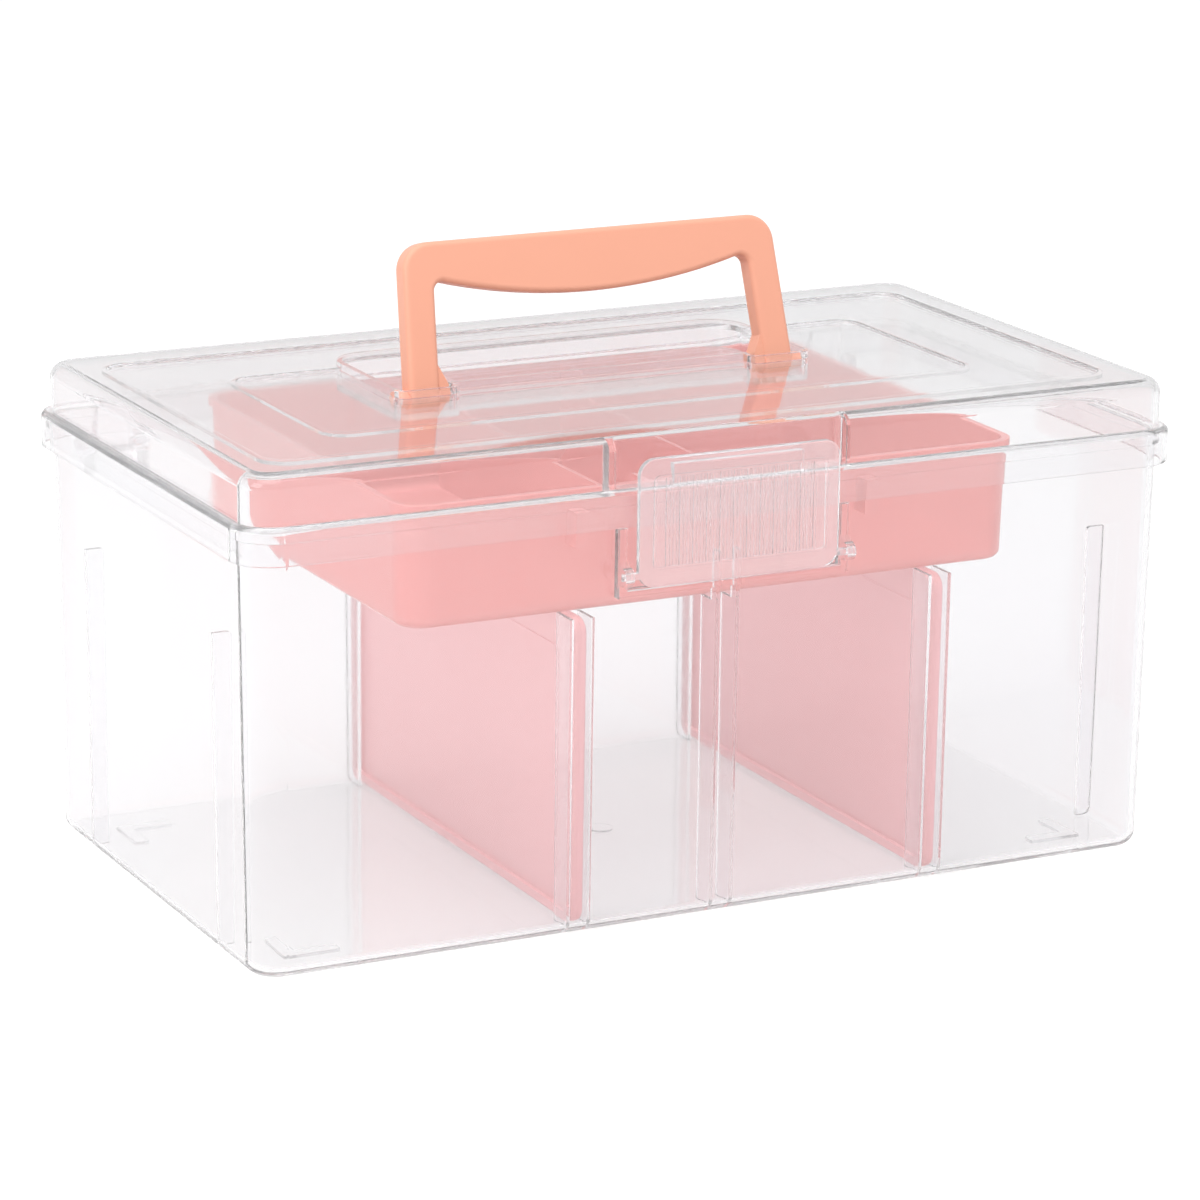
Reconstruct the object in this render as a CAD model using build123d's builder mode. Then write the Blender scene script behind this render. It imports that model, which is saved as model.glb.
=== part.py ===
from build123d import *
from math import cos, radians, sin, tan
import os

os.makedirs("parts", exist_ok=True)

# The box stands on the plane Z = 0. X runs along its long side, -Y is the latch side.

# Body, measured outside
base_length = 315.4
base_width = 172.2
base_corner = 10.0
base_round = 4.5
wall_draft = 0.67
body_wall = 2.0
body_floor = 2.2
foot_height = 1.0
foot_arm = 18.0
foot_width = 4.5
foot_inset_x = 15.8
foot_inset_y = 16.7
gate_radius = 4.0
gate_height = 0.4
cut_over = 1.0

# Rim of the body and the lid that closes over it
rim_top = 140.6
rim_lip = 0.6
rim_lip_height = 3.0
skirt_gap = 0.9
lid_seat_gap = 0.3
lid_wall = 1.8
skirt_height = 11.7
skirt_round = 2.0
skirt_edge = 0.5
ledge_width = 3.1
crown_height = 15.5
crown_round = 4.8
stack_margin_x = 13.9
stack_margin_y = 17.4
stack_corner = 8.0
stack_depth = 1.2
stack_edge = 0.6
field_length = 226.0
field_width = 82.0
field_corner = 7.0
field_depth = 1.0
field_edge = 0.45

# Notch in the lid that bares the top of the latch
notch_width = 80.0
notch_depth = 4.7
notch_corner = 2.0

# Pocket in the lid that takes the folded handle
pocket_length = 148.4
pocket_front = 2.0
pocket_rear = 55.3
pocket_depth = 9.0
pocket_corner = 13.0
cheek_width = 22.4
cheek_front = -4.0
cheek_corner = 3.8

# Handle
handle_depth = 8.0
handle_reach = 49.3
handle_lean = 15.0
handle_foot_x = 68.9
handle_top_x = 65.9
leg_width = 10.5
grip_depth = 12.0
grip_belly = 8.0
handle_corner = 9.0
handle_inner_corner = 3.0
handle_edge = 1.8
heel_width = 3.4
heel_height = 11.0
heel_depth = 6.4
handle_pin_radius = 2.0
handle_shoulder_radius = 3.4
pin_gap = 0.08
pin_end_gap = 0.3
swing_gap = 0.5

# Latch and the frame that carries it on the body
latch_width = 69.6
latch_height = 40.4
latch_thickness = 2.4
latch_corner = 5.5
latch_edge = 0.6
latch_skirt_gap = 0.3
latch_pivot_rise = 4.0
frame_reach = 4.4
latch_pin_radius = 1.2
latch_panel_side = 4.7
latch_panel_foot = 5.6
latch_panel_head = 5.3
latch_panel_corner = 2.0
latch_border_width = 0.8
latch_relief = 0.5
latch_rib_count = 12
latch_rib_pitch = 4.65
latch_rib_width = 0.9
fine_ribs = 3
fine_rib_width = 0.35
fine_rib_relief = 0.25
hook_width = 45.0
hook_bite = 0.8
hook_gap = 0.5
hook_reach = 2.6
hook_slope = 3.2
hook_bead = 0.8
hook_land = 1.0
latch_head = 2.6
guard_gap = 2.2
guard_bar = 3.0
guard_depth = 3.4
guard_base_bar = 2.5
guard_base_gap = 0.8
guard_edge = 0.6

# Hinge at the back
hinge_inset = 25.1
hinge_drop = 4.0
hinge_arm_width = 12.0
hinge_arm_rise = 2.0
hinge_arm_root = 1.0
hinge_side_gap = 0.5
hinge_lug_width = 4.0
hinge_lug_radius = 3.2
hinge_pin_radius = 1.5

# Rails for the dividers and upright ribs on the end walls
left_slot_x = -50.0
right_slot_x = 76.0
slot_gap = 5.8
rail_width = 1.2
rail_reach = 10.0
rail_top = 102.6
upper_rail_reach = 3.6
upper_rail_top = 119.0
end_rib_width = 1.4
end_rib_reach = 6.2
end_rib_corner = 1.2
end_rib_y = 53.5

# Dividers
divider_edge = 4.2
divider_bead = 3.6
divider_round = 1.3
divider_web = 1.6
divider_gap = 0.5
divider_foot_gap = 0.3
divider_head_gap = 0.3
divider_corner = 5.0
divider_border = 12.0
divider_panel = 0.3
divider_panel_corner = 4.0
divider_seam = 0.3
divider_seam_rise = 0.15

# Tray
tray_length = 212.0
tray_side_gap = 7.3
tray_height = 39.2
tray_rest_gap = 0.3
tray_draft = 1.5
tray_corner = 9.0
tray_base_round = 2.5
tray_wall = 1.6
tray_floor = 1.6
tray_lip = 1.0
tray_lip_height = 2.2
tray_lip_edge = 0.45
cross_wall_x = 23.0
cross_wall = 1.4
cross_wall_drop = 1.0
scoop_margin = 15.0
scoop_depth = 9.0
scoop_run = 9.0
scoop_round = 5.0
tray_lug_x = 50.4
tray_lug_width = 4.5
tray_lug_height = 11.0
tray_lug_drop = 6.0
tray_lug_gap = 0.4

draft = tan(radians(wall_draft))
floor_top = foot_height + body_floor


def half_length(z):
    """Outer half length of the body at the height z."""
    return base_length / 2 + (z - foot_height) * draft


def half_width(z):
    """Outer half width of the body at the height z."""
    return base_width / 2 + (z - foot_height) * draft


# Sizes that follow from the values above
skirt_half_length = half_length(rim_top) + rim_lip + skirt_gap + lid_wall
skirt_half_width = half_width(rim_top) + rim_lip + skirt_gap + lid_wall
skirt_corner = base_corner + rim_lip + skirt_gap + lid_wall
ledge_top = rim_top + lid_seat_gap + lid_wall
skirt_bottom = ledge_top - skirt_height
lid_top = ledge_top + crown_height
crown_half_length = skirt_half_length - ledge_width
crown_half_width = skirt_half_width - ledge_width
crown_corner = skirt_corner - ledge_width
stack_half_length = crown_half_length - stack_margin_x
stack_half_width = crown_half_width - stack_margin_y
stack_level = lid_top - stack_depth
field_level = stack_level - field_depth
notch_back = -(crown_half_width - notch_depth)
pocket_floor = lid_top - pocket_depth

hinge_x = base_length / 2 - hinge_inset
hinge_y = skirt_half_width + frame_reach - hinge_lug_radius
hinge_z = skirt_bottom - hinge_drop

handle_pivot_y = cheek_front + lid_wall + swing_gap + handle_depth / 2
handle_pivot_z = pocket_floor + swing_gap + handle_depth / 2
lean = radians(handle_lean)
handle_plane = Plane(
    origin=(0, handle_pivot_y, handle_pivot_z),
    x_dir=(1, 0, 0),
    z_dir=(0, -cos(lean), sin(lean)),
)

latch_back = -(skirt_half_width + latch_skirt_gap)
latch_front = latch_back - latch_thickness
hook_under = ledge_top + hook_gap
hook_tip = -skirt_half_width + hook_bite
hook_inner = latch_back + hook_reach
bead_y = hook_tip - hook_bead
bead_z = hook_under + hook_bead
slope_top = bead_z + (hook_inner - hook_tip) * hook_slope
hook_top = slope_top + hook_land
latch_top = hook_top + latch_head
latch_bottom = latch_top - latch_height
latch_pivot_y = latch_back - latch_thickness / 2
latch_pivot_z = latch_bottom + latch_pivot_rise
guard_half = latch_width / 2 + guard_gap
guard_base_top = latch_bottom - guard_base_gap
guard_front = -(half_width(guard_base_top) + guard_depth)

guard_boss = frame_reach - latch_skirt_gap - latch_thickness / 2

divider_top = rail_top - divider_head_gap
tray_bottom = rail_top + tray_rest_gap
tray_top = tray_bottom + tray_height
tray_width = 2 * (half_width(tray_bottom) - body_wall - tray_side_gap)


def rounded_prism(length, width, corner, low, high):
    """A rounded rectangular block between two heights, with upright sides."""
    with BuildPart() as prism:
        with BuildSketch(Plane.XY.offset(low)):
            RectangleRounded(length, width, corner)
        extrude(amount=high - low)
    return prism.part


def yz_block(y_low, y_high, z_low, z_high, x_centre, thickness):
    """A block given by its extent in Y and Z, centred on x_centre."""
    with BuildPart() as block:
        with Locations((x_centre, (y_low + y_high) / 2, (z_low + z_high) / 2)):
            Box(thickness, y_high - y_low, z_high - z_low)
    return block.part


# Inside of the body, with the rails and ribs left standing in it
with BuildPart() as body_space:
    with BuildSketch(Plane.XY.offset(floor_top)):
        RectangleRounded(
            2 * (half_length(floor_top) - body_wall),
            2 * (half_width(floor_top) - body_wall),
            base_corner - body_wall,
        )
    extrude(amount=rim_top - floor_top + cut_over, taper=-wall_draft)
    fillet(body_space.faces().sort_by(Axis.Z)[0].edges(), base_round - body_wall)
    rail_start = half_width(rail_top) - body_wall - rail_reach
    upper_start = half_width(rail_top) - body_wall - upper_rail_reach
    for side in (-1, 1):
        for slot in (left_slot_x, 0, right_slot_x):
            for face in (-1, 1):
                rail_x = slot + face * (slot_gap + rail_width) / 2
                ends = sorted((side * rail_start, side * half_width(rim_top)))
                add(
                    yz_block(*ends, foot_height, rail_top, rail_x, rail_width),
                    mode=Mode.SUBTRACT,
                )
    # The middle pair on the latch wall runs on upwards as lower ribs
    for face in (-1, 1):
        rail_x = face * (slot_gap + rail_width) / 2
        add(
            yz_block(-half_width(rim_top), -upper_start, rail_top, upper_rail_top, rail_x, rail_width),
            mode=Mode.SUBTRACT,
        )
    # Two thin ribs stand out from each end wall
    end_rib_start = half_length(rail_top) - body_wall - end_rib_reach
    for end in (-1, 1):
        for side in (-1, 1):
            with BuildSketch(Plane.XZ.offset(side * end_rib_y)) as rib:
                with BuildLine():
                    Polyline(
                        (end * end_rib_start, foot_height), (end * end_rib_start, rail_top),
                        (end * half_length(rim_top), rail_top),
                        (end * half_length(rim_top), foot_height),
                        close=True,
                    )
                make_face()
                tip = rib.vertices().group_by(Axis.Y)[-1].sort_by(lambda corner: abs(corner.X))[0]
                fillet(tip, end_rib_corner)
            extrude(amount=end_rib_width / 2, both=True, mode=Mode.SUBTRACT)
    # Round mark where the plastic entered the mould
    with Locations((0, 0, floor_top)):
        Cylinder(gate_radius, 2 * gate_height, mode=Mode.SUBTRACT)

with BuildPart() as box_body:
    with BuildSketch(Plane.XY.offset(foot_height)):
        RectangleRounded(base_length, base_width, base_corner)
    extrude(amount=rim_top - foot_height, taper=-wall_draft)
    fillet(box_body.faces().sort_by(Axis.Z)[0].edges(), base_round)
    # Lip round the rim, which fills the lid's skirt
    with BuildSketch(Plane.XY.offset(rim_top - rim_lip_height)):
        RectangleRounded(
            2 * (half_length(rim_top) + rim_lip),
            2 * (half_width(rim_top) + rim_lip),
            base_corner + rim_lip,
        )
    extrude(amount=rim_lip_height)
    add(body_space.part, mode=Mode.SUBTRACT)
    # Feet, one angle at each corner, which sit inside the recess of a lid below
    foot_x = base_length / 2 - foot_inset_x
    foot_y = base_width / 2 - foot_inset_y
    with BuildSketch(Plane.XY):
        for end in (-1, 1):
            for side in (-1, 1):
                with Locations((end * (foot_x - foot_arm / 2), side * (foot_y - foot_width / 2))):
                    Rectangle(foot_arm, foot_width)
                with Locations((end * (foot_x - foot_width / 2), side * (foot_y - foot_arm / 2))):
                    Rectangle(foot_width, foot_arm)
    extrude(amount=foot_height + body_floor / 2)
    # Frame round the lower part of the latch
    guard_root = -(half_width(guard_base_top) - body_wall / 2)
    guard_top = skirt_bottom - lid_seat_gap
    guard_low = guard_base_top - guard_base_bar
    guard_outer = guard_half + guard_bar
    with BuildSketch(Plane.XZ.offset(-guard_root)):
        with BuildLine():
            Polyline(
                (-guard_outer, guard_top), (-guard_outer, guard_low),
                (guard_outer, guard_low), (guard_outer, guard_top),
                (guard_half, guard_top), (guard_half, guard_base_top),
                (-guard_half, guard_base_top), (-guard_half, guard_top),
                close=True,
            )
        make_face()
    extrude(amount=guard_root - guard_front)
    fillet(box_body.faces().sort_by(Axis.Y)[0].edges(), guard_edge)
    for end in (-1, 1):
        with BuildSketch(Plane.YZ.offset(end * (guard_half + guard_bar / 2))):
            with Locations((latch_pivot_y, latch_pivot_z)):
                Circle(guard_boss)
            with BuildLine():
                Polyline(
                    (guard_root, latch_pivot_z - guard_boss),
                    (latch_pivot_y, latch_pivot_z - guard_boss),
                    (latch_pivot_y, latch_pivot_z + guard_boss),
                    (guard_root, latch_pivot_z + 3 * guard_boss),
                    close=True,
                )
            make_face()
        extrude(amount=guard_bar / 2, both=True)
        with Locations(Plane.YZ.offset(end * (guard_half + guard_bar / 2))):
            with Locations((latch_pivot_y, latch_pivot_z)):
                Cylinder(latch_pin_radius + pin_gap, guard_bar + cut_over, mode=Mode.SUBTRACT)
    # Hinge lugs on the back wall
    lug_offset = hinge_arm_width / 2 + hinge_side_gap + hinge_lug_width / 2
    lug_root = half_width(hinge_z) - body_wall / 2
    for end in (-1, 1):
        for face in (-1, 1):
            lug_plane = Plane.YZ.offset(end * hinge_x + face * lug_offset)
            with BuildSketch(lug_plane):
                with Locations((hinge_y, hinge_z)):
                    Circle(hinge_lug_radius)
                with BuildLine():
                    Polyline(
                        (lug_root, hinge_z + hinge_lug_radius),
                        (hinge_y, hinge_z + hinge_lug_radius),
                        (hinge_y, hinge_z - hinge_lug_radius),
                        (lug_root, hinge_z - 3 * hinge_lug_radius),
                        close=True,
                    )
                make_face()
            extrude(amount=hinge_lug_width / 2, both=True)
            with Locations(lug_plane):
                with Locations((hinge_y, hinge_z)):
                    Cylinder(hinge_pin_radius + pin_gap, hinge_lug_width + cut_over, mode=Mode.SUBTRACT)

# Outline of the handle pocket: an oblong with a forward cheek at each end for a leg
def pocket_outline(grow):
    """Sketch of the pocket, larger all round by grow."""
    half = pocket_length / 2 - lid_wall + grow
    rear = pocket_rear - lid_wall + grow
    front = pocket_front + lid_wall - grow
    cheek = cheek_front + lid_wall - grow
    cheek_inner = pocket_length / 2 - cheek_width + lid_wall - grow
    with BuildSketch() as outline:
        with BuildLine():
            Polyline(
                (-half, rear), (-half, cheek), (-cheek_inner, cheek), (-cheek_inner, front),
                (cheek_inner, front), (cheek_inner, cheek), (half, cheek), (half, rear),
                close=True,
            )
        make_face()
        fillet(outline.vertices().group_by(Axis.Y)[-1], pocket_corner - lid_wall + grow)
        fillet(outline.vertices().group_by(Axis.Y)[0], cheek_corner - lid_wall + grow)
    return outline.sketch


def pocket_prism(grow, low, high):
    """The pocket as a block between two heights."""
    with BuildPart() as prism:
        with BuildSketch(Plane.XY.offset(low)):
            add(pocket_outline(grow))
        extrude(amount=high - low)
    return prism.part


# Inside of the lid: it follows every step of the top at one wall thickness
with BuildPart() as lid_space:
    add(
        rounded_prism(
            2 * (crown_half_length - lid_wall), 2 * (crown_half_width - lid_wall),
            crown_corner - lid_wall, skirt_bottom - cut_over, lid_top - lid_wall,
        )
    )
    fillet(lid_space.faces().sort_by(Axis.Z)[-1].edges(), crown_round - lid_wall)
    add(
        rounded_prism(
            2 * (stack_half_length + lid_wall), 2 * (stack_half_width + lid_wall),
            stack_corner + lid_wall, stack_level - lid_wall, lid_top,
        ),
        mode=Mode.SUBTRACT,
    )
    add(
        rounded_prism(
            field_length + 2 * lid_wall, field_width + 2 * lid_wall,
            field_corner + lid_wall, field_level - lid_wall, lid_top,
        ),
        mode=Mode.SUBTRACT,
    )
    add(pocket_prism(lid_wall, pocket_floor - lid_wall, lid_top), mode=Mode.SUBTRACT)
    with Locations((0, notch_back + lid_wall - notch_depth, (ledge_top + lid_top) / 2 - lid_wall / 2)):
        Box(notch_width + 2 * lid_wall, 2 * notch_depth, crown_height + lid_wall, mode=Mode.SUBTRACT)
    add(
        rounded_prism(
            2 * (skirt_half_length - lid_wall), 2 * (skirt_half_width - lid_wall),
            skirt_corner - lid_wall, skirt_bottom - cut_over, ledge_top - lid_wall,
        )
    )

with BuildPart() as lid:
    add(
        rounded_prism(
            2 * skirt_half_length, 2 * skirt_half_width, skirt_corner, skirt_bottom, ledge_top
        )
    )
    fillet(lid.faces().sort_by(Axis.Z)[-1].edges(), skirt_round)
    fillet(lid.faces().sort_by(Axis.Z)[0].edges(), skirt_edge)
    with BuildSketch(Plane.XY.offset(ledge_top - lid_wall)):
        RectangleRounded(2 * crown_half_length, 2 * crown_half_width, crown_corner)
    extrude(amount=crown_height + lid_wall)
    fillet(lid.faces().sort_by(Axis.Z)[-1].edges(), crown_round)
    # Recess in which the feet of a box stacked on top stand
    with BuildSketch(Plane.XY.offset(stack_level)):
        RectangleRounded(2 * stack_half_length, 2 * stack_half_width, stack_corner)
    extrude(amount=stack_depth + cut_over, mode=Mode.SUBTRACT)
    fillet(lid.faces().sort_by(Axis.Z)[-1].inner_wires().edges(), stack_edge)
    with BuildSketch(Plane.XY.offset(field_level)):
        RectangleRounded(field_length, field_width, field_corner)
    extrude(amount=field_depth + stack_depth + cut_over, mode=Mode.SUBTRACT)
    step = lid.faces().filter_by(Axis.Z).filter_by_position(Axis.Z, stack_level - field_depth / 2, lid_top - stack_depth / 2)
    fillet(step.sort_by(Axis.Z)[-1].inner_wires().edges(), field_edge)
    # Collar of the pocket, as high as the outer rim of the top
    add(pocket_prism(lid_wall, field_level - lid_wall, lid_top))
    add(pocket_prism(0, pocket_floor, lid_top + cut_over), mode=Mode.SUBTRACT)
    # Notch in front of the latch
    with BuildSketch(Plane.XY.offset(ledge_top)):
        with Locations((0, notch_back - notch_depth)):
            RectangleRounded(notch_width, 2 * notch_depth, notch_corner)
    extrude(amount=crown_height + cut_over, mode=Mode.SUBTRACT)
    add(lid_space.part, mode=Mode.SUBTRACT)
    # Holes for the handle's pins
    with Locations((0, handle_pivot_y, handle_pivot_z)):
        Cylinder(
            handle_pin_radius + pin_gap, pocket_length,
            rotation=(0, 90, 0), mode=Mode.SUBTRACT,
        )
    # Hinge arms with their pins
    for end in (-1, 1):
        with BuildSketch(Plane.YZ.offset(end * hinge_x)):
            with Locations((hinge_y, hinge_z)):
                Circle(hinge_lug_radius)
            with BuildLine():
                Polyline(
                    (skirt_half_width - lid_wall / 2, skirt_bottom),
                    (hinge_y - hinge_lug_radius, hinge_z),
                    (hinge_y + hinge_lug_radius, hinge_z),
                    (hinge_y + hinge_lug_radius, skirt_bottom + hinge_arm_rise),
                    (skirt_half_width + hinge_arm_root, ledge_top - skirt_round),
                    (skirt_half_width - lid_wall / 2, ledge_top - skirt_round),
                    close=True,
                )
            make_face()
        extrude(amount=hinge_arm_width / 2, both=True)
        with Locations((end * hinge_x, hinge_y, hinge_z)):
            Cylinder(
                hinge_pin_radius,
                hinge_arm_width + 2 * (hinge_side_gap + hinge_lug_width),
                rotation=(0, 90, 0),
            )

def bar_along_x(radius, start, end, y, z):
    """A round bar along X between two places."""
    with BuildPart() as bar:
        with Locations(((start + end) / 2, y, z)):
            Cylinder(radius, abs(end - start), rotation=(0, 90, 0))
    return bar.part


leg_slope = (handle_foot_x - handle_top_x) / handle_reach
leg_inner = handle_foot_x - leg_width
grip_under = handle_reach - grip_depth
grip_end_x = leg_inner - grip_under * leg_slope
heel_inner = leg_inner - heel_width
pocket_inner = pocket_length / 2 - lid_wall
handle_up = Axis((0, 0, 0), tuple(handle_plane.y_dir))
handle_across = Axis((0, 0, 0), tuple(handle_plane.z_dir))

with BuildPart() as carry_handle:
    with BuildSketch(handle_plane) as bail:
        with BuildLine():
            Polyline(
                (-grip_end_x, grip_under), (-leg_inner, 0), (-handle_foot_x, 0),
                (-handle_top_x, handle_reach), (handle_top_x, handle_reach),
                (handle_foot_x, 0), (leg_inner, 0), (grip_end_x, grip_under),
            )
            ThreePointArc(
                (grip_end_x, grip_under), (0, grip_under - grip_belly), (-grip_end_x, grip_under)
            )
        make_face()
        fillet(bail.vertices().group_by(Axis.Y)[1], handle_inner_corner)
        fillet(bail.vertices().group_by(Axis.Y)[-1], handle_corner)
    extrude(amount=handle_depth / 2, both=True)
    leg_ends = carry_handle.faces().sort_by(handle_up)[:2]
    rims = carry_handle.faces().filter_by(handle_across).edges() - leg_ends.edges()
    fillet(rims, handle_edge)
    # Each leg ends in a round foot with a heel inside, and a shoulder and pin outside
    for end in (-1, 1):
        add(
            bar_along_x(
                handle_depth / 2, end * leg_inner, end * handle_foot_x,
                handle_pivot_y, handle_pivot_z,
            )
        )
        with BuildSketch(handle_plane):
            with BuildLine():
                Polyline(
                    (end * leg_inner, heel_height), (end * heel_inner, handle_depth / 2),
                    (end * heel_inner, 0), (end * leg_inner, 0), close=True,
                )
            make_face()
        extrude(amount=heel_depth / 2, both=True)
        add(
            bar_along_x(
                heel_depth / 2, end * heel_inner, end * handle_foot_x,
                handle_pivot_y, handle_pivot_z,
            )
        )
        add(
            bar_along_x(
                handle_shoulder_radius, end * leg_inner, end * (pocket_inner - pin_end_gap),
                handle_pivot_y, handle_pivot_z,
            )
        )
        add(
            bar_along_x(
                handle_pin_radius, end * leg_inner, end * (pocket_length / 2 - pin_end_gap),
                handle_pivot_y, handle_pivot_z,
            )
        )

panel_width = latch_width - 2 * latch_panel_side
panel_height = latch_height - latch_panel_foot - latch_panel_head
panel_z = latch_bottom + latch_panel_foot + panel_height / 2
fine_pitch = latch_rib_pitch / (fine_ribs + 1)

with BuildPart() as latch:
    with BuildSketch(Plane.XZ.offset(-latch_back)):
        with Locations((0, (latch_bottom + latch_top) / 2)):
            RectangleRounded(latch_width, latch_height, latch_corner)
    extrude(amount=latch_thickness)
    fillet(latch.faces().filter_by(Axis.Y).edges(), latch_edge)
    # Raised border round the finger panel, with ribs inside it
    with BuildSketch(Plane.XZ.offset(-latch_front)):
        with Locations((0, panel_z)):
            RectangleRounded(panel_width, panel_height, latch_panel_corner)
            RectangleRounded(
                panel_width - 2 * latch_border_width,
                panel_height - 2 * latch_border_width,
                latch_panel_corner - latch_border_width,
                mode=Mode.SUBTRACT,
            )
            with GridLocations(latch_rib_pitch, 1, latch_rib_count, 1):
                Rectangle(latch_rib_width, panel_height - latch_border_width)
    extrude(amount=latch_relief)
    with BuildSketch(Plane.XZ.offset(-latch_front)):
        for step in range(fine_ribs):
            shift = (step - (fine_ribs - 1) / 2) * fine_pitch
            with Locations((shift, panel_z)):
                with GridLocations(latch_rib_pitch, 1, latch_rib_count - 1, 1):
                    Rectangle(fine_rib_width, panel_height - latch_border_width)
    extrude(amount=fine_rib_relief)
    # Hook with a rounded bead, which snaps over the edge of the lid
    with BuildSketch(Plane.YZ):
        with BuildLine():
            Polyline(
                (hook_tip, bead_z), (hook_inner, slope_top), (hook_inner, hook_top),
                (latch_pivot_y, hook_top), (latch_pivot_y, hook_under), (bead_y, hook_under),
            )
            RadiusArc((bead_y, hook_under), (hook_tip, bead_z), -hook_bead)
        make_face()
    extrude(amount=hook_width / 2, both=True)
    for end in (-1, 1):
        add(
            bar_along_x(
                latch_pin_radius, end * (latch_width / 2 - latch_pivot_rise),
                end * (guard_outer - pin_end_gap), latch_pivot_y, latch_pivot_z,
            )
        )

tray_top_half = tray_width / 2 + tray_height * tan(radians(tray_draft))

# Inside of the tray, cut into compartments by the cross walls
with BuildPart() as tray_space:
    with BuildSketch(Plane.XY.offset(tray_bottom + tray_floor)):
        RectangleRounded(
            tray_length - 2 * tray_wall, tray_width - 2 * tray_wall, tray_corner - tray_wall
        )
    extrude(amount=tray_height, taper=-tray_draft)
    fillet(tray_space.faces().sort_by(Axis.Z)[0].edges(), tray_base_round)
    scoop_half = tray_top_half - scoop_margin
    wall_top = tray_top - cross_wall_drop
    for side in (-1, 1):
        with BuildSketch(Plane.YZ.offset(side * cross_wall_x)) as cross:
            with BuildLine():
                Polyline(
                    (-tray_top_half, tray_bottom), (-tray_top_half, wall_top),
                    (-scoop_half, wall_top), (-scoop_half + scoop_run, wall_top - scoop_depth),
                    (scoop_half - scoop_run, wall_top - scoop_depth), (scoop_half, wall_top),
                    (tray_top_half, wall_top), (tray_top_half, tray_bottom),
                    close=True,
                )
            make_face()
            bends = cross.vertices().filter_by_position(Axis.X, -scoop_half, scoop_half)
            fillet(bends, scoop_round)
        extrude(amount=cross_wall / 2, both=True, mode=Mode.SUBTRACT)

with BuildPart() as tray:
    with BuildSketch(Plane.XY.offset(tray_bottom)):
        RectangleRounded(tray_length, tray_width, tray_corner)
    extrude(amount=tray_height, taper=-tray_draft)
    fillet(tray.faces().sort_by(Axis.Z)[0].edges(), tray_base_round)
    # Lip round the top
    lip_grow = 2 * (tray_height * tan(radians(tray_draft)) + tray_lip)
    with BuildSketch(Plane.XY.offset(tray_top - tray_lip_height)):
        RectangleRounded(tray_length + lip_grow, tray_width + lip_grow, tray_corner + tray_lip)
    extrude(amount=tray_lip_height)
    add(tray_space.part, mode=Mode.SUBTRACT)
    fillet(tray.faces().sort_by(Axis.Z)[-1].edges(), tray_lip_edge)
    # Lugs that keep the tray in the middle between the long walls
    tray_lug_top = tray_top - tray_lug_drop
    tray_lug_low = tray_lug_top - tray_lug_height
    tray_lug_end = half_width(tray_lug_low) - body_wall - tray_lug_gap
    tray_lug_root = tray_width / 2 - tray_wall / 2
    for end in (-1, 1):
        for side in (-1, 1):
            span = sorted((side * tray_lug_root, side * tray_lug_end))
            add(yz_block(*span, tray_lug_low, tray_lug_top, end * tray_lug_x, tray_lug_width))


def divider_outline(slot, shrink, corner):
    """Outline of a divider on the middle plane of its slot, set in by shrink."""
    low = floor_top + divider_foot_gap + shrink
    high = divider_top - shrink
    low_half = half_width(low) - body_wall - divider_gap - shrink
    high_half = half_width(high) - body_wall - divider_gap - shrink
    with BuildSketch(Plane.YZ.offset(slot)) as outline:
        with BuildLine():
            Polyline((-low_half, low), (low_half, low), (high_half, high), (-high_half, high), close=True)
        make_face()
        fillet(outline.vertices(), corner)
    return outline.sketch


def divider(slot):
    """A divider: a thin web in a thicker rounded edge, with a panel raised on both faces."""
    with BuildPart() as board:
        extrude(divider_outline(slot, 0, divider_corner), amount=divider_edge / 2, both=True)
        fillet(board.faces().filter_by(Axis.X).edges(), divider_round)
        hollow = divider_outline(slot, divider_bead, divider_corner - divider_bead)
        for face in (-1, 1):
            extrude(
                hollow.moved(Location((face * divider_web / 2, 0, 0))),
                amount=face * divider_edge,
                mode=Mode.SUBTRACT,
            )
        seam = divider_outline(slot, -divider_seam_rise, divider_corner)
        extrude(seam, amount=divider_seam / 2, both=True)
        panel = divider_outline(slot, divider_border, divider_panel_corner)
        extrude(panel, amount=divider_web / 2 + divider_panel, both=True)
    return board.part


left_divider = divider(left_slot_x)
right_divider = divider(right_slot_x)

pieces = {
    "box_body": box_body.part,
    "lid": lid.part,
    "carry_handle": carry_handle.part,
    "latch": latch.part,
    "tray": tray.part,
    "left_divider": left_divider,
    "right_divider": right_divider,
}
for name, piece in pieces.items():
    piece.label = name
    export_step(piece, f"parts/{name}.step")
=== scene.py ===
from math import pi, radians

import bpy
from mathutils import Matrix, Vector

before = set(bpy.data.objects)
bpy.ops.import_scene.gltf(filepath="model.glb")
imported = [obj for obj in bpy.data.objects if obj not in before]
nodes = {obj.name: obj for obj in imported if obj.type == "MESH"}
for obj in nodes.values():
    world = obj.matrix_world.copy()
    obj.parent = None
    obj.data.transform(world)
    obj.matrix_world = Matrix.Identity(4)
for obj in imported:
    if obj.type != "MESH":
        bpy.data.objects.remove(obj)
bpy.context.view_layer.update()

print("frame loaded:", sorted(nodes))


# camera, lights and ground

camera = {
    "place": (-0.6730, -1.3304, 0.4938),
    "yaw": 26.81,        # degrees to the right of +Y
    "pitch": 15.47,      # degrees down
    "roll": 0.63,
    "lens": 142.47,
    "sensor": 36.0,
    "nearest": 0.05,
    "farthest": 50.0,
}


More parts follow.
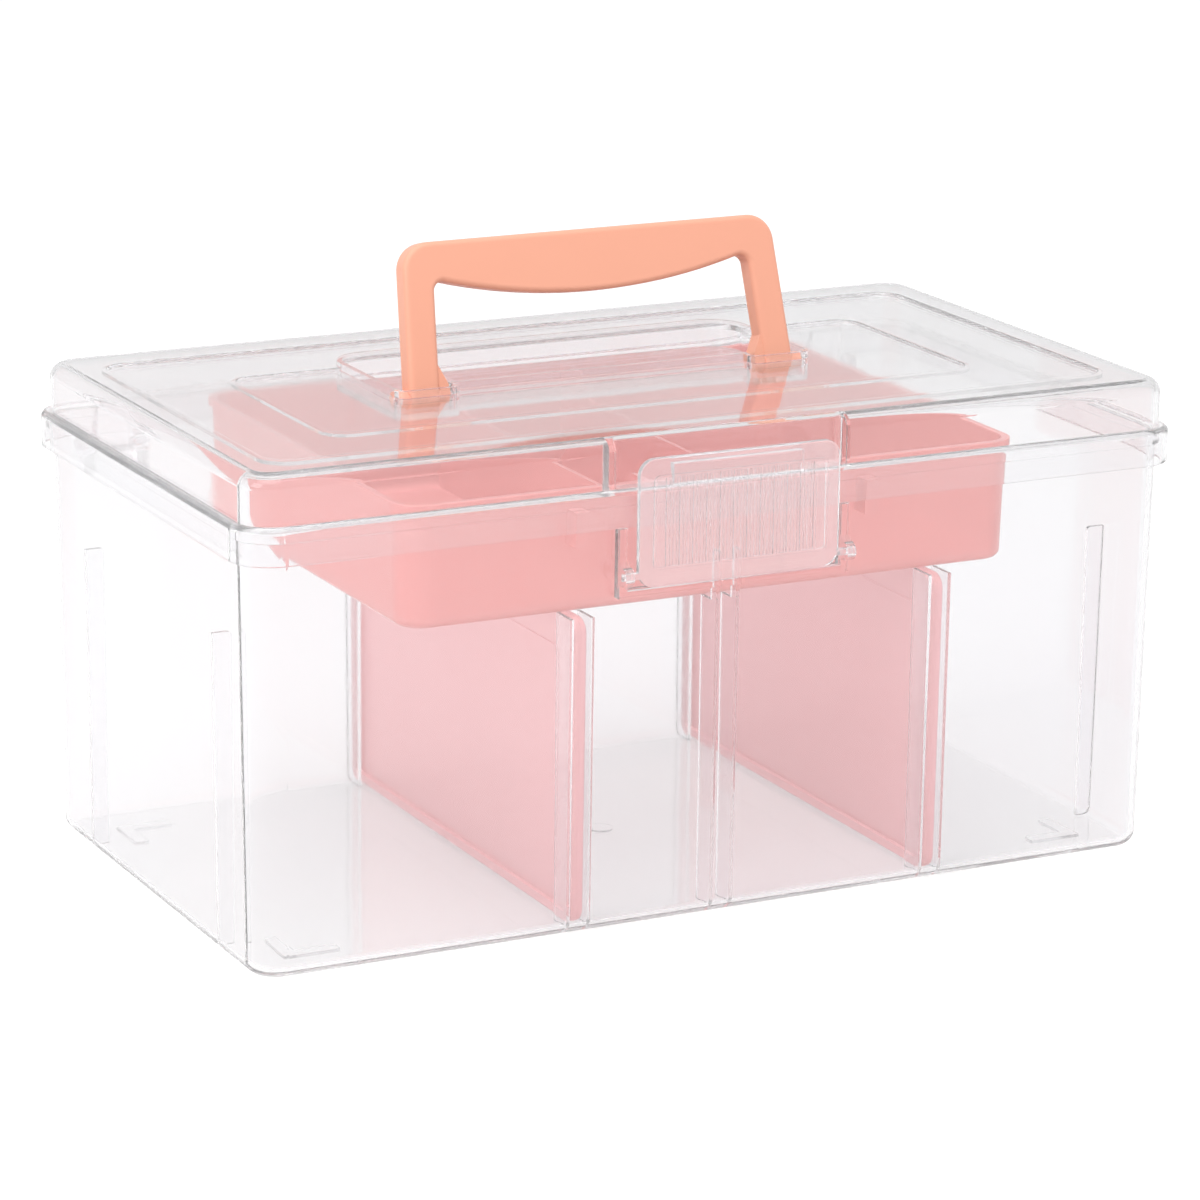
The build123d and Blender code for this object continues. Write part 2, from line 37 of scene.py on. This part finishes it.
def makeCamera(view):
    data = bpy.data.cameras.new("photoCamera")
    data.lens = view["lens"]
    data.sensor_width = view["sensor"]
    data.clip_start = view["nearest"]
    data.clip_end = view["farthest"]
    cam = bpy.data.objects.new("photoCamera", data)
    bpy.context.scene.collection.objects.link(cam)
    turn = Matrix.Rotation(-radians(view["yaw"]), 4, "Z")
    tilt = Matrix.Rotation(pi / 2 - radians(view["pitch"]), 4, "X")
    roll = Matrix.Rotation(radians(view["roll"]), 4, "Z")
    cam.matrix_world = Matrix.Translation(view["place"]) @ turn @ tilt @ roll
    bpy.context.scene.camera = cam


studio = {
    "topPlace": (-0.25, -0.35, 1.5),
    "topSize": 1.6,
    "topPower": 9.0,
    "sidePlace": (-1.5, -0.6, 0.9),
    "sideSize": 1.1,
    "sidePower": 5.0,
    "lampAim": (0.0, 0.0, 0.08),
    "skyZenith": 1.0,
    "skyHorizon": 0.86,
    "skyRise": 0.75,     # brightest from here up, where straight up is 1
    "skyStrength": 0.86,
    "floorSize": 30.0,
    "floorDrop": 0.0002,
    "floorWhite": 0.86,
    "floorGlow": 0.27,
    "glowThrough": 0.12,
    "bounces": 32,
}


def makeLamp(side, light):
    data = bpy.data.lights.new(side + "Softbox", "AREA")
    data.shape = "DISK"
    data.size = light[side + "Size"]
    data.energy = light[side + "Power"]
    lamp = bpy.data.objects.new(side + "Softbox", data)
    bpy.context.scene.collection.objects.link(lamp)
    lamp.location = light[side + "Place"]
    throw = Vector(light["lampAim"]) - Vector(light[side + "Place"])
    lamp.rotation_euler = throw.to_track_quat("-Z", "Y").to_euler()


def makeSky(light):
    world = bpy.data.worlds.new("softSky")
    world.use_nodes = True
    bpy.context.scene.world = world
    tree = world.node_tree
    tree.nodes.clear()
    coord = tree.nodes.new("ShaderNodeTexCoord")
    split = tree.nodes.new("ShaderNodeSeparateXYZ")
    ramp = tree.nodes.new("ShaderNodeValToRGB")
    back = tree.nodes.new("ShaderNodeBackground")
    out = tree.nodes.new("ShaderNodeOutputWorld")
    low, high = light["skyHorizon"], light["skyZenith"]
    ramp.color_ramp.elements[0].color = (low, low, low, 1)
    ramp.color_ramp.elements[1].position = light["skyRise"]
    ramp.color_ramp.elements[1].color = (high, high, high, 1)
    back.inputs["Strength"].default_value = light["skyStrength"]
    tree.links.new(coord.outputs["Generated"], split.inputs[0])
    tree.links.new(split.outputs["Z"], ramp.inputs["Fac"])
    tree.links.new(ramp.outputs["Color"], back.inputs["Color"])
    tree.links.new(back.outputs[0], out.inputs["Surface"])


def makeFloor(light):
    bpy.ops.object.select_all(action="DESELECT")
    bpy.ops.mesh.primitive_plane_add(size=light["floorSize"], location=(0, 0, -light["floorDrop"]))
    floor = bpy.context.active_object
    floor.name = "floor"
    bpy.ops.object.transform_apply(location=True)
    mat = bpy.data.materials.new("paperFloor")
    mat.use_nodes = True
    tree = mat.node_tree
    tree.nodes.clear()
    paper = tree.nodes.new("ShaderNodeBsdfDiffuse")
    glow = tree.nodes.new("ShaderNodeEmission")
    path = tree.nodes.new("ShaderNodeLightPath")
    through = tree.nodes.new("ShaderNodeMath")
    dimmer = tree.nodes.new("ShaderNodeMath")
    amount = tree.nodes.new("ShaderNodeMath")
    both = tree.nodes.new("ShaderNodeAddShader")
    out = tree.nodes.new("ShaderNodeOutputMaterial")
    white = light["floorWhite"]
    paper.inputs["Color"].default_value = (white, white, white, 1)
    # camera rays see the full glow, reflected and refracted ones less of it
    through.operation = "MAXIMUM"
    dimmer.operation = "MULTIPLY"
    dimmer.inputs[1].default_value = light["glowThrough"]
    amount.operation = "MULTIPLY_ADD"
    amount.inputs[1].default_value = light["floorGlow"]
    tree.links.new(path.outputs["Is Glossy Ray"], through.inputs[0])
    tree.links.new(path.outputs["Is Transmission Ray"], through.inputs[1])
    tree.links.new(through.outputs[0], dimmer.inputs[0])
    tree.links.new(path.outputs["Is Camera Ray"], amount.inputs[0])
    tree.links.new(dimmer.outputs[0], amount.inputs[2])
    tree.links.new(amount.outputs[0], glow.inputs["Strength"])
    tree.links.new(paper.outputs[0], both.inputs[0])
    tree.links.new(glow.outputs[0], both.inputs[1])
    tree.links.new(both.outputs[0], out.inputs["Surface"])
    floor.data.materials.append(mat)


makeCamera(camera)
makeSky(studio)
makeFloor(studio)
for side in ("top", "side"):
    makeLamp(side, studio)
bpy.context.scene.view_settings.view_transform = "Standard"
# the thin clear edges bounce light many times inside before they let it go
bpy.context.scene.cycles.max_bounces = studio["bounces"]
bpy.context.scene.cycles.transmission_bounces = studio["bounces"]
bpy.context.scene.cycles.glossy_bounces = studio["bounces"]
print("camera, sky, floor and softboxes made")


# finishes

mouldFlow = {
    "flowDetail": 2.0,
    "flowTwist": 0.6,
    "fineScale": 260.0,
    "fineDetail": 3.0,
    "fineRange": (0.3, 0.7),     # the part of the fine noise that turns into haze
    "fineHeight": 0.004,         # height of the fine noise, where the slow flow has 1
}


def makeFlowGroup(mould):
    group = bpy.data.node_groups.new("mouldFlow", "ShaderNodeTree")
    face = group.interface
    face.new_socket("Flow Scale", in_out="INPUT", socket_type="NodeSocketFloat")
    face.new_socket("Haze Low", in_out="INPUT", socket_type="NodeSocketFloat")
    face.new_socket("Haze High", in_out="INPUT", socket_type="NodeSocketFloat")
    face.new_socket("Tint", in_out="INPUT", socket_type="NodeSocketColor")
    face.new_socket("Tint Deep", in_out="INPUT", socket_type="NodeSocketColor")
    face.new_socket("Color", in_out="OUTPUT", socket_type="NodeSocketColor")
    face.new_socket("Roughness", in_out="OUTPUT", socket_type="NodeSocketFloat")
    face.new_socket("Height", in_out="OUTPUT", socket_type="NodeSocketFloat")
    add = group.nodes.new
    link = group.links.new
    start = add("NodeGroupInput")
    end = add("NodeGroupOutput")
    coord = add("ShaderNodeTexCoord")
    flow = add("ShaderNodeTexNoise")
    flow.inputs["Detail"].default_value = mould["flowDetail"]
    flow.inputs["Distortion"].default_value = mould["flowTwist"]
    fine = add("ShaderNodeTexNoise")
    fine.inputs["Scale"].default_value = mould["fineScale"]
    fine.inputs["Detail"].default_value = mould["fineDetail"]
    haze = add("ShaderNodeMapRange")
    haze.inputs["From Min"].default_value = mould["fineRange"][0]
    haze.inputs["From Max"].default_value = mould["fineRange"][1]
    mix = add("ShaderNodeMix")
    mix.data_type = "RGBA"
    weigh = add("ShaderNodeMath")
    weigh.operation = "MULTIPLY_ADD"
    weigh.inputs[1].default_value = mould["fineHeight"]
    link(coord.outputs["Object"], flow.inputs["Vector"])
    link(coord.outputs["Object"], fine.inputs["Vector"])
    link(start.outputs["Flow Scale"], flow.inputs["Scale"])
    link(fine.outputs["Fac"], haze.inputs["Value"])
    link(start.outputs["Haze Low"], haze.inputs["To Min"])
    link(start.outputs["Haze High"], haze.inputs["To Max"])
    link(flow.outputs["Fac"], mix.inputs["Factor"])
    link(start.outputs["Tint"], mix.inputs["A"])
    link(start.outputs["Tint Deep"], mix.inputs["B"])
    link(fine.outputs["Fac"], weigh.inputs[0])
    link(flow.outputs["Fac"], weigh.inputs[2])
    link(mix.outputs["Result"], end.inputs["Color"])
    link(haze.outputs["Result"], end.inputs["Roughness"])
    link(weigh.outputs[0], end.inputs["Height"])
    return group


flowGroup = makeFlowGroup(mouldFlow)


# shadow and diffuse rays pass straight through, so that the inside of the box is lit
def letLightIn(tree, shader, tint):
    path = tree.nodes.new("ShaderNodeLightPath")
    bare = tree.nodes.new("ShaderNodeBsdfTransparent")
    bare.inputs["Color"].default_value = (*tint, 1)
    last = shader
    for ray in ("Is Shadow Ray", "Is Diffuse Ray"):
        mix = tree.nodes.new("ShaderNodeMixShader")
        tree.links.new(path.outputs[ray], mix.inputs[0])
        tree.links.new(last.outputs[0], mix.inputs[1])
        tree.links.new(bare.outputs[0], mix.inputs[2])
        last = mix
    tree.links.new(last.outputs[0], tree.nodes["Material Output"].inputs["Surface"])


def makePlastic(name, finish):
    mat = bpy.data.materials.new(name)
    mat.use_nodes = True
    tree = mat.node_tree
    shader = tree.nodes["Principled BSDF"]
    flow = tree.nodes.new("ShaderNodeGroup")
    flow.node_tree = flowGroup
    flow.inputs["Flow Scale"].default_value = finish["flowScale"]
    flow.inputs["Haze Low"].default_value = finish["roughness"][0]
    flow.inputs["Haze High"].default_value = finish["roughness"][1]
    flow.inputs["Tint"].default_value = (*finish["tint"], 1)
    flow.inputs["Tint Deep"].default_value = (*finish["tintDeep"], 1)
    bump = tree.nodes.new("ShaderNodeBump")
    bump.inputs["Strength"].default_value = finish["wave"]
    bump.inputs["Distance"].default_value = finish["waveHeight"]
    shader.inputs["IOR"].default_value = finish["ior"]
    shader.inputs["Transmission Weight"].default_value = finish["clear"]
    tree.links.new(flow.outputs["Color"], shader.inputs["Base Color"])
    tree.links.new(flow.outputs["Roughness"], shader.inputs["Roughness"])
    tree.links.new(flow.outputs["Height"], bump.inputs["Height"])
    tree.links.new(bump.outputs["Normal"], shader.inputs["Normal"])
    if "letThrough" in finish:
        letLightIn(tree, shader, finish["letThrough"])
    return mat


clearPlastic = {
    "tint": (0.972, 0.972, 0.974),
    "tintDeep": (0.955, 0.948, 0.966),
    "roughness": (0.02, 0.06),
    "clear": 0.97,
    "letThrough": (0.985, 0.985, 0.985),
    "ior": 1.49,
    "flowScale": 9.0,
    "wave": 0.15,
    "waveHeight": 0.002,
}
frostPlastic = {
    "tint": (0.990, 0.978, 0.990),
    "tintDeep": (0.980, 0.965, 0.985),
    "roughness": (0.09, 0.13),
    "clear": 0.86,
    "letThrough": (0.97, 0.97, 0.97),
    "ior": 1.49,
    "flowScale": 12.0,
    "wave": 0.15,
    "waveHeight": 0.001,
}
peachPlastic = {
    "tint": (0.955, 0.450, 0.310),
    "tintDeep": (0.940, 0.425, 0.290),
    "roughness": (0.30, 0.40),
    "clear": 0.0,
    "ior": 1.49,
    "flowScale": 14.0,
    "wave": 0.2,
    "waveHeight": 0.0008,
}
salmonPlastic = {
    "tint": (0.965, 0.485, 0.462),
    "tintDeep": (0.945, 0.440, 0.424),
    "roughness": (0.14, 0.17),
    "clear": 0.42,
    "letThrough": (0.97, 0.90, 0.90),
    "ior": 1.49,
    "flowScale": 12.0,
    "wave": 0.2,
    "waveHeight": 0.001,
}
pinkPlastic = {
    "tint": (0.985, 0.590, 0.595),
    "tintDeep": (0.975, 0.560, 0.575),
    "roughness": (0.14, 0.17),
    "clear": 0.46,
    "letThrough": (0.99, 0.97, 0.97),
    "ior": 1.49,
    "flowScale": 12.0,
    "wave": 0.2,
    "waveHeight": 0.001,
}

clear = makePlastic("clearPlastic", clearPlastic)
frost = makePlastic("frostPlastic", frostPlastic)
peach = makePlastic("peachPlastic", peachPlastic)
salmon = makePlastic("salmonPlastic", salmonPlastic)
pink = makePlastic("pinkPlastic", pinkPlastic)
print("finishes made")

wears = {
    "box_body": clear,
    "lid": clear,
    "latch": frost,
    "carry_handle": peach,
    "tray": salmon,
    "left_divider": pink,
    "right_divider": pink,
}
for name, mat in wears.items():
    for slot in nodes[name].material_slots:
        slot.material = mat
print("finishes put on")
